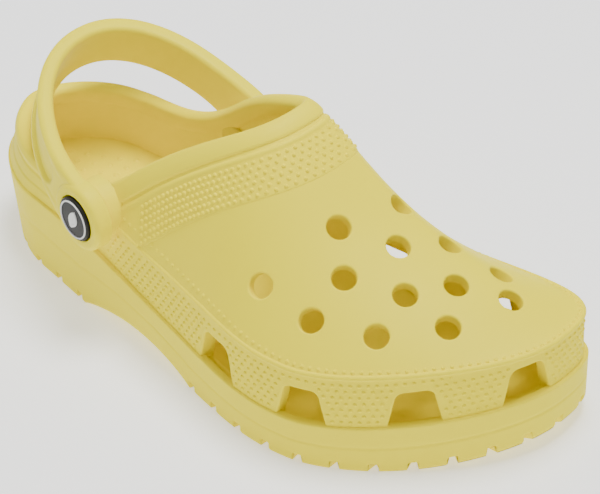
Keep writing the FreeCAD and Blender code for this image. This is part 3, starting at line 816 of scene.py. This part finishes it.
def tread():
    """Underside with cross grooves and the roofs of the edge notches."""
    s = round_the_edge(0.7)
    t = np.concatenate([np.linspace(0, 0.75, 16)[:-1], np.linspace(0.75, 1, 16)])
    x0 = edge(s, 0.0)[0][:, 0]
    plan = fan(s, sole_inset(x0, 0) + 0.55, t)
    x, y = plan[..., 0], plan[..., 1]
    z = tread_z(x)
    for first, last in ((24.0, TOE - 35), (HEEL + 28, -78.0)):
        k = np.clip(np.round((x - first) / GROOVE_PITCH), 0, int((last - first) / GROOVE_PITCH))
        off = np.maximum(np.abs(x - first - k * GROOVE_PITCH) - GROOVE_WIDTH / 2,
                         np.abs(y - middle_y(x)) - GROOVE_LENGTH / 2)
        z = z + GROOVE_DEPTH * (1 - smooth(-0.35, 0.35, off))
    inset = np.linalg.norm(plan - plan[:, -1:], axis=-1)
    gap = np.maximum(notch_gap(s[:, None] + 0 * x, 0 * x, x0[:, None]), inset - NOTCH_DEPTH)
    z = z + (NOTCH_HEIGHT - 0.1) * (1 - smooth(-0.25, 0.25, gap))
    return sheet(at_height(plan, z), turned=True)


def footbed_z(x, y):
    """Height of the footbed: its middle line plus the fifth power of the gauge."""
    return footbed(x) + 6.0 * np.minimum(1.3, gauge(x, y)) ** 5


def footbed_dish():
    """Footbed: flat along the middle and climbing at its edge."""
    s = np.linspace(-GIRTH / 2, GIRTH / 2, 361)
    plan = fan(s, 6.0 + 0 * s, np.linspace(0, 1, 48))
    return sheet(at_height(plan, footbed_z(plan[..., 0], plan[..., 1])))


def footbed_nubs(first=-126.0, pitch=7.0, across=6.5):
    """Small massage nubs in staggered rows over the heel bowl."""
    i, j = np.meshgrid(np.arange(-3, 4), np.arange(8), indexing="ij")
    x, y = first + j * pitch, 6.0 + SHIFT + (i + 0.5 * (j % 2)) * across
    keep = gauge(x, y) < 0.62
    x, y = x[keep], y[keep]
    up = np.tile([0, 0, 1.0], (len(x), 1))
    return nubs(np.stack([x, y, footbed_z(x, y) - 0.1], -1), up, 1.5, 0.8, sides=12)


# ---- heel strap ----
def strap_place(points):
    """Swing a level strap up about the hinge line, then set it on the skewed line."""
    c, s = math.cos(math.radians(STRAP_RAISE)), math.sin(math.radians(STRAP_RAISE))
    x, z = points[..., 0] - PIVOT[0], points[..., 2] - PIVOT[2]
    return askew(np.stack([PIVOT[0] + c * x + s * z, points[..., 1], PIVOT[2] - s * x + c * z], -1))


def strap_band(count=300):
    """Band swept along a superellipse loop. Its section is a rounded oblong; the outside carries
    raised borders round a sunk channel that ends in a half circle before each boss."""
    angle = np.linspace(-PI / 2, PI / 2, count)
    corner = np.linspace(0, PI / 2, 7)[1:-1]
    half, r = STRAP_THICK / 2, 2.2
    v = [np.linspace(-1, 1, 53), 1 + 0 * corner, np.ones(4), 1 + 0 * corner,
         np.linspace(1, -1, 17), -1 + 0 * corner, -np.ones(4), -1 + 0 * corner]
    dv = [np.zeros(53), np.sin(corner), np.ones(4), np.cos(corner),
          np.zeros(17), -np.sin(corner), -np.ones(4), -np.cos(corner)]
    o = [np.full(53, half), half - r + r * np.cos(corner), np.linspace(half - r, r - half, 4),
         r - half - r * np.sin(corner), np.full(17, -half), r - half - r * np.cos(corner),
         np.linspace(r - half, half - r, 4), half - r + r * np.sin(corner)]
    v, dv, o = (np.concatenate(a)[None, :] for a in (v, dv, o))
    cosine, sine = np.cos(angle)[:, None], np.sin(angle)[:, None]
    back = STRAP_REACH * np.clip(cosine, 0, None) ** (2 / STRAP_SQUARE)
    tall = BOSS_R - 1 + (STRAP_WIDTH / 2 - BOSS_R + 1) * smooth(0, 36, back)
    rise = v * (tall - r) + dv * r
    rim, start = 4.0, 21.0
    wide = STRAP_WIDTH / 2 - rim
    gap = np.hypot(np.maximum(start + wide - back, 0), rise) - wide
    border = np.clip((np.abs(rise) - wide) / rim, 0, 1)
    bulge = 0.3 * np.sin(PI * border) + 0.15 * (1 - (rise / tall) ** 2)
    outside = smooth(half - 1.0, half - 0.2, o)
    near = np.hypot(back, rise)
    o = o + outside * (bulge * smooth(8, 20, back) - CHANNEL_DEPTH * (1 - smooth(-0.9, 0.5, gap)))
    o = o - outside * SEAT_DEPTH * (1 - smooth(10.6, 11.3, near))
    o = o + (1 - smooth(-half, -half + 1.5, o)) * 0.5 * (1 - smooth(13, 17, near))
    away = (STRAP_REACH + o) * np.clip(cosine, 0, None) ** (2 / STRAP_SQUARE)
    side = (STRAP_HALF + o) * np.sign(sine) * np.abs(sine) ** (2 / STRAP_SQUARE)
    y = PIVOT[1] + side + STRAP_SKEW * (away / STRAP_REACH) ** 2
    grid = np.stack([PIVOT[0] - away, y, PIVOT[2] + rise + 0 * away], -1)
    return sheet(strap_place(grid), wrap_cols=True)


def closed_ring(profile, count, side):
    """A closed profile turned about the hinge line."""
    points, _ = revolve(profile, count, side)
    faces = quads(len(profile), count, wrap_rows=True, wrap_cols=True)
    return points, faces if side > 0 else faces[:, ::-1]


def arc(cr, cd, radius, start, stop, count=6):
    """Profile points on a circle about (cr, cd), angles in degrees."""
    a = np.radians(np.linspace(start, stop, count))
    return [(cr + radius * math.cos(k), cd + radius * math.sin(k)) for k in a]


def boss(side):
    """Thick round end of the strap with soft rims and a seat for the rivet's head."""
    low, high = STRAP_HALF - BOSS_THICK / 2, STRAP_HALF + BOSS_THICK / 2
    profile = [(4.2, low), (9, low)] + arc(BOSS_R - 1.2, low + 1.2, 1.2, -90, 0)
    profile += arc(BOSS_R - 2.6, high - 2.6 + 0.25, 2.6, 0, 90, 10)
    profile += arc(11.1, high - 0.5, 0.7, 90, 180)
    profile += [(10.4, high - 1.6), (4.2, high - 1.6)]
    return closed_ring(profile, 120, side)


# ---- badges ----
FRONT = STRAP_HALF + BOSS_THICK / 2 - 1.2 + 2.6
DOME_R = HEAD_R - 0.7


def badge_front(r):
    """Depth of the badge's front at radius r: it swells by one minus the square of the radius."""
    return FRONT + 0.2 * (1 - (r / DOME_R) ** 2)


def plate(side):
    """Round rivet head with a rounded rim and a gently domed front."""
    profile = [(0.3, FRONT - 2.6), (HEAD_R - 0.6, FRONT - 2.6)]
    profile += arc(HEAD_R - 0.4, FRONT - 2.2, 0.4, -90, 0, 4)
    profile += arc(DOME_R, FRONT - 0.7, 0.7, 0, 90, 7)
    profile += [(r, badge_front(r)) for r in (8, 6, 4, 2, 0.3)]
    count = 96
    points, faces = revolve(profile, count, side)
    last = (len(profile) - 1) * count + np.arange(count)
    ends = [last.tolist(), np.arange(count)[::-1].tolist()]
    return points, faces.tolist() + [e if side > 0 else e[::-1] for e in ends]


def badge_ring(side):
    """Thin ring let into the badge's front, with both edges rounded."""
    top = FRONT + 0.5
    profile = [(RING_R - 0.7, FRONT - 0.2), (RING_R, FRONT - 0.2)]
    profile += arc(RING_R - 0.2, top - 0.2, 0.2, 0, 90, 4)
    profile += arc(RING_R - 0.5, top - 0.2, 0.2, 90, 180, 4)
    return closed_ring(profile, 96, side)


def leaf(side):
    """Plain leaf: width falls as one minus the square of the length, edges rounded down, a middle
    vein and slanting side veins pressed in."""
    t, w = np.meshgrid(np.linspace(-1, 1, 61), np.linspace(-1, 1, 41), indexing="ij")
    half = LEAF_HALF_WIDTH * (1 - t * t) + 0.02
    x, z = half * w, LEAF_HALF_LENGTH * t
    up = 0.5 * (1 - smooth(0.88, 1.0, np.abs(w))) * (1 - smooth(0.96, 1.0, np.abs(t)))
    vein = np.exp(-(x / 0.24) ** 2) * (1 - smooth(0.7, 0.95, t))
    slant = np.exp(-(np.sin((z - 0.8 * np.abs(x)) * PI / 2.2) / 0.35) ** 2)
    slant = slant * smooth(0.15, 0.4, np.abs(w)) * (1 - smooth(0.6, 0.8, np.abs(w)))
    up = up - 0.3 * vein - 0.16 * slant * (1 - smooth(0.6, 0.8, np.abs(t)))
    c, s = math.cos(math.radians(LEAF_TILT)), math.sin(math.radians(LEAF_TILT))
    px, pz = c * x + s * z, c * z - s * x
    y = up + badge_front(np.hypot(px, pz))
    grid = askew(np.stack([PIVOT[0] + px, PIVOT[1] + side * y, PIVOT[2] + pz], -1))
    return sheet(grid, turned=side < 0)


# ---- materials ----
class Socket:
    """A node's output that takes part in sums and products by adding math nodes."""

    def __init__(self, graph, link):
        self.graph, self.link = graph, link

    def _math(self, operation, *inputs):
        return self.graph.node("ShaderNodeMath", {"operation": operation}, dict(enumerate(inputs)))

    def __add__(self, other):
        return self._math("ADD", self, other)

    def __sub__(self, other):
        return self._math("SUBTRACT", self, other)

    def __mul__(self, other):
        return self._math("MULTIPLY", self, other)

    def __rsub__(self, other):
        return self._math("SUBTRACT", other, self)

    __radd__, __rmul__ = __add__, __mul__


class Graph:
    """Node tree of one material with a Principled shader that gives the finish."""

    def __init__(self, name, **constants):
        self.material = bpy.data.materials.new(name)
        self.material.use_nodes = True
        self.tree = self.material.node_tree
        self.shader = next(n for n in self.tree.nodes if n.type == "BSDF_PRINCIPLED")
        for key, value in constants.items():
            self.shader.inputs[key.replace("_", " ")].default_value = value

    def node(self, kind, settings=None, inputs=None, output=0):
        """A node of a kind with its settings first, then values or links, giving one output."""
        node = self.tree.nodes.new(kind)
        for key, value in (settings or {}).items():
            setattr(node, key, value)
        for key, value in (inputs or {}).items():
            if isinstance(value, Socket):
                self.tree.links.new(value.link, node.inputs[key])
            else:
                node.inputs[key].default_value = value
        return Socket(self, node.outputs[output])

    def place(self):
        """Coordinates fixed to the piece."""
        return self.node("ShaderNodeTexCoord", output="Object")

    def noise(self, scale, detail=2.0, roughness=0.5):
        """Cloudy pattern fixed to the piece; scale counts its features in a metre."""
        return self.node("ShaderNodeTexNoise", {}, {"Vector": self.place(), "Scale": scale,
                                                   "Detail": detail, "Roughness": roughness}, "Fac")

    def mix(self, factor, a, b):
        """Colour a where the factor is 0 and b where it is 1."""
        return self.node("ShaderNodeMix", {"data_type": "RGBA"}, {0: factor, 6: a, 7: b}, 2)

    def bump(self, height, strength, distance):
        """Surface normal tilted as if it stood up by the height."""
        return self.node("ShaderNodeBump", {}, {"Strength": strength, "Distance": distance,
                                                "Height": height}, "Normal")

    def finish(self, **sockets):
        """Link what varies over the surface to the shader and give the material."""
        for key, socket in sockets.items():
            self.tree.links.new(socket.link, self.shader.inputs[key.replace("_", " ")])
        return self.material


def foam(name, light, deep, rough, grain):
    """Closed-cell foam: a soft tone drift, a fine mottle and a very fine grain in the bump."""
    g = Graph(name, IOR=1.4, Specular_IOR_Level=0.22)
    drift, mottle, fine = g.noise(28.0), g.noise(420.0, 3.0), g.noise(2600.0, 2.0, 0.6)
    tone = g.mix(drift * 0.55 + mottle * 0.35 + 0.02, light, deep)
    height = fine * 0.6 + mottle * 0.25
    return g.finish(Base_Color=tone, Roughness=mottle * 0.16 + rough,
                    Normal=g.bump(height, grain, 0.0002))


def plastic(name, base, other, rough, coat):
    """Moulded plastic: an even colour with faint clouding and slight wear in the gloss."""
    g = Graph(name, Coat_Weight=coat, Coat_Roughness=0.2, IOR=1.45, Specular_IOR_Level=0.2)
    cloud, wear = g.noise(160.0), g.noise(900.0, 4.0, 0.65)
    return g.finish(Base_Color=g.mix(cloud, base, other), Roughness=wear * 0.2 + rough,
                    Normal=g.bump(wear, 0.08, 0.0001))


YELLOW, DEEP_YELLOW = (1.0, 0.86, 0.0, 1), (0.98, 0.82, 0.0, 1)
UPPER = foam("foam_upper", YELLOW, DEEP_YELLOW, 0.42, 0.35)
BANDS = foam("foam_bands", YELLOW, DEEP_YELLOW, 0.46, 0.2)
SOLE = foam("foam_sole", YELLOW, DEEP_YELLOW, 0.45, 0.3)
STRAP = foam("foam_strap", (1.0, 0.87, 0.0, 1), (0.98, 0.83, 0.0, 1), 0.4, 0.18)
RIVET = plastic("rivet_plastic", (0.84, 0.70, 0.03, 1), (0.76, 0.62, 0.02, 1), 0.32, 0.15)
BLACK = plastic("badge_black", (0.012, 0.012, 0.013, 1), (0.02, 0.02, 0.021, 1), 0.32, 0.0)
WHITE = plastic("badge_white", (0.78, 0.78, 0.76, 1), (0.9, 0.9, 0.88, 1), 0.4, 0.0)

# ---- pieces ----
for name, shape, material in (
        ("vamp_skin", perforated(dome_z, 0.0, HOLE_R + HOLE_FILLET, 460, 150, 3.0, False), UPPER),
        ("vamp_lining", perforated(lining_z, WALL, HOLE_R, 240, 84, 2.5, True), UPPER),
        ("air_hole_rims", hole_rims(), UPPER),
        ("bumper_wall", bumper_wall(), BANDS),
        ("vent_rims", vent_rims(), BANDS),
        ("bumper_bead", bumper_bead(), BANDS),
        ("bumper_nubs", bumper_nubs(), BANDS),
        ("inner_wall", inner_wall(), UPPER),
        ("collar", collar(), BANDS),
        ("collar_nubs", collar_nubs(), BANDS),
        ("strap_pads", pads(), BANDS)):
    make_piece(name, shape, material, "clog", "upper")
for name, shape in (("sole_side", sole_side_wall()), ("tread", tread()),
                    ("footbed", footbed_dish()), ("footbed_nubs", footbed_nubs())):
    make_piece(name, shape, SOLE, "clog", "sole")
make_piece("strap_band", strap_band(), STRAP, "strap", "heel_strap")
for side, end in ((-1, "outer"), (1, "inner")):
    make_piece("strap_boss_" + end, boss(side), STRAP, "strap", "heel_strap")
    make_piece("plate_" + end, plate(side), BLACK, "clog", "badge_plate_" + end)
    make_piece("ring_" + end, badge_ring(side), WHITE, "clog", "badge_ring_" + end)
    make_piece("leaf_" + end, leaf(side), WHITE, "clog", "badge_leaf_" + end)
    for node in ("rivet_post_", "rivet_cap_"):
        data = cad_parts[node + end].data
        data.materials.clear()
        data.materials.append(RIVET)


# ---- stage, light and camera ----
def stage_material():
    """Matt pale paper with a little light of its own."""
    g = Graph("stage_paper", Specular_IOR_Level=0.2, Emission_Color=(1, 1, 1, 1),
              Emission_Strength=0.7)
    return g.finish(Base_Color=g.mix(g.noise(6.0), (0.86, 0.86, 0.86, 1), (0.88, 0.88, 0.88, 1)),
                    Roughness=g.noise(40.0) * 0.1 + 0.6)


FLOOR_HALF, FLOOR_Z = 6.0, -0.0002
floor_mesh = bpy.data.meshes.new("floor")
floor_mesh.from_pydata([(x * FLOOR_HALF, y * FLOOR_HALF, FLOOR_Z)
                        for x, y in ((-1, -1), (1, -1), (1, 1), (-1, 1))], [], [(0, 1, 2, 3)])
floor_mesh.materials.append(stage_material())
floor = bpy.data.objects.new("floor", floor_mesh)
bpy.context.collection.objects.link(floor)

world = bpy.data.worlds.new("studio")
bpy.context.scene.world = world
world.use_nodes = True
sky = next(n for n in world.node_tree.nodes if n.type == "BACKGROUND")
sky.inputs["Color"].default_value = (1.0, 1.0, 1.0, 1)
sky.inputs["Strength"].default_value = 0.36


def look_at(obj, place, target):
    """Stand an object at a place so that its own -Z looks at the target and its Y stays up."""
    obj.location = place
    obj.rotation_euler = (Vector(target) - Vector(place)).to_track_quat("-Z", "Y").to_euler()


def area_light(name, place, target, size, watts):
    """Round soft lamp aimed at a target."""
    light = bpy.data.lights.new(name, "AREA")
    light.shape, light.size, light.energy = "DISK", size, watts
    lamp = bpy.data.objects.new(name, light)
    bpy.context.collection.objects.link(lamp)
    look_at(lamp, place, target)


MIDDLE = (0.0, 0.0, 0.05)
area_light("key", (0.1, 0.2, 1.4), MIDDLE, 0.6, 24.0)
area_light("fill", (1.2, -0.9, 0.8), MIDDLE, 1.2, 3.0)
area_light("rim", (-0.9, -0.2, 0.9), MIDDLE, 1.0, 3.0)

CAM_AZ, CAM_EL, CAM_ROLL, CAM_FAR, CAM_LENS = 42.0, 37.11, -1.725, 1.3653, 190.3
CAM_SIDE, CAM_UP = 0.01511, 0.03267
az, el, roll = math.radians(CAM_AZ), math.radians(CAM_EL), math.radians(CAM_ROLL)
back = np.array([math.sin(az) * math.cos(el), -math.cos(az) * math.cos(el), math.sin(el)])
right = np.array([math.cos(az), math.sin(az), 0.0])
up = np.cross(back, right)
c, s = math.cos(roll), math.sin(roll)
right, up = right * c + up * s, up * c - right * s
aim = right * CAM_SIDE + up * CAM_UP + np.array([0, SHIFT * MM, 0])
camera = bpy.data.objects.new("camera", bpy.data.cameras.new("camera"))
bpy.context.collection.objects.link(camera)
camera.data.sensor_fit, camera.data.sensor_width = "HORIZONTAL", 36.0
camera.data.lens = CAM_LENS
camera.data.clip_start, camera.data.clip_end = 0.05, 50.0
turned = Matrix(np.stack([right, up, back], 1).tolist()).to_4x4()
camera.matrix_world = Matrix.Translation((aim + back * CAM_FAR).tolist()) @ turned
bpy.context.scene.camera = camera
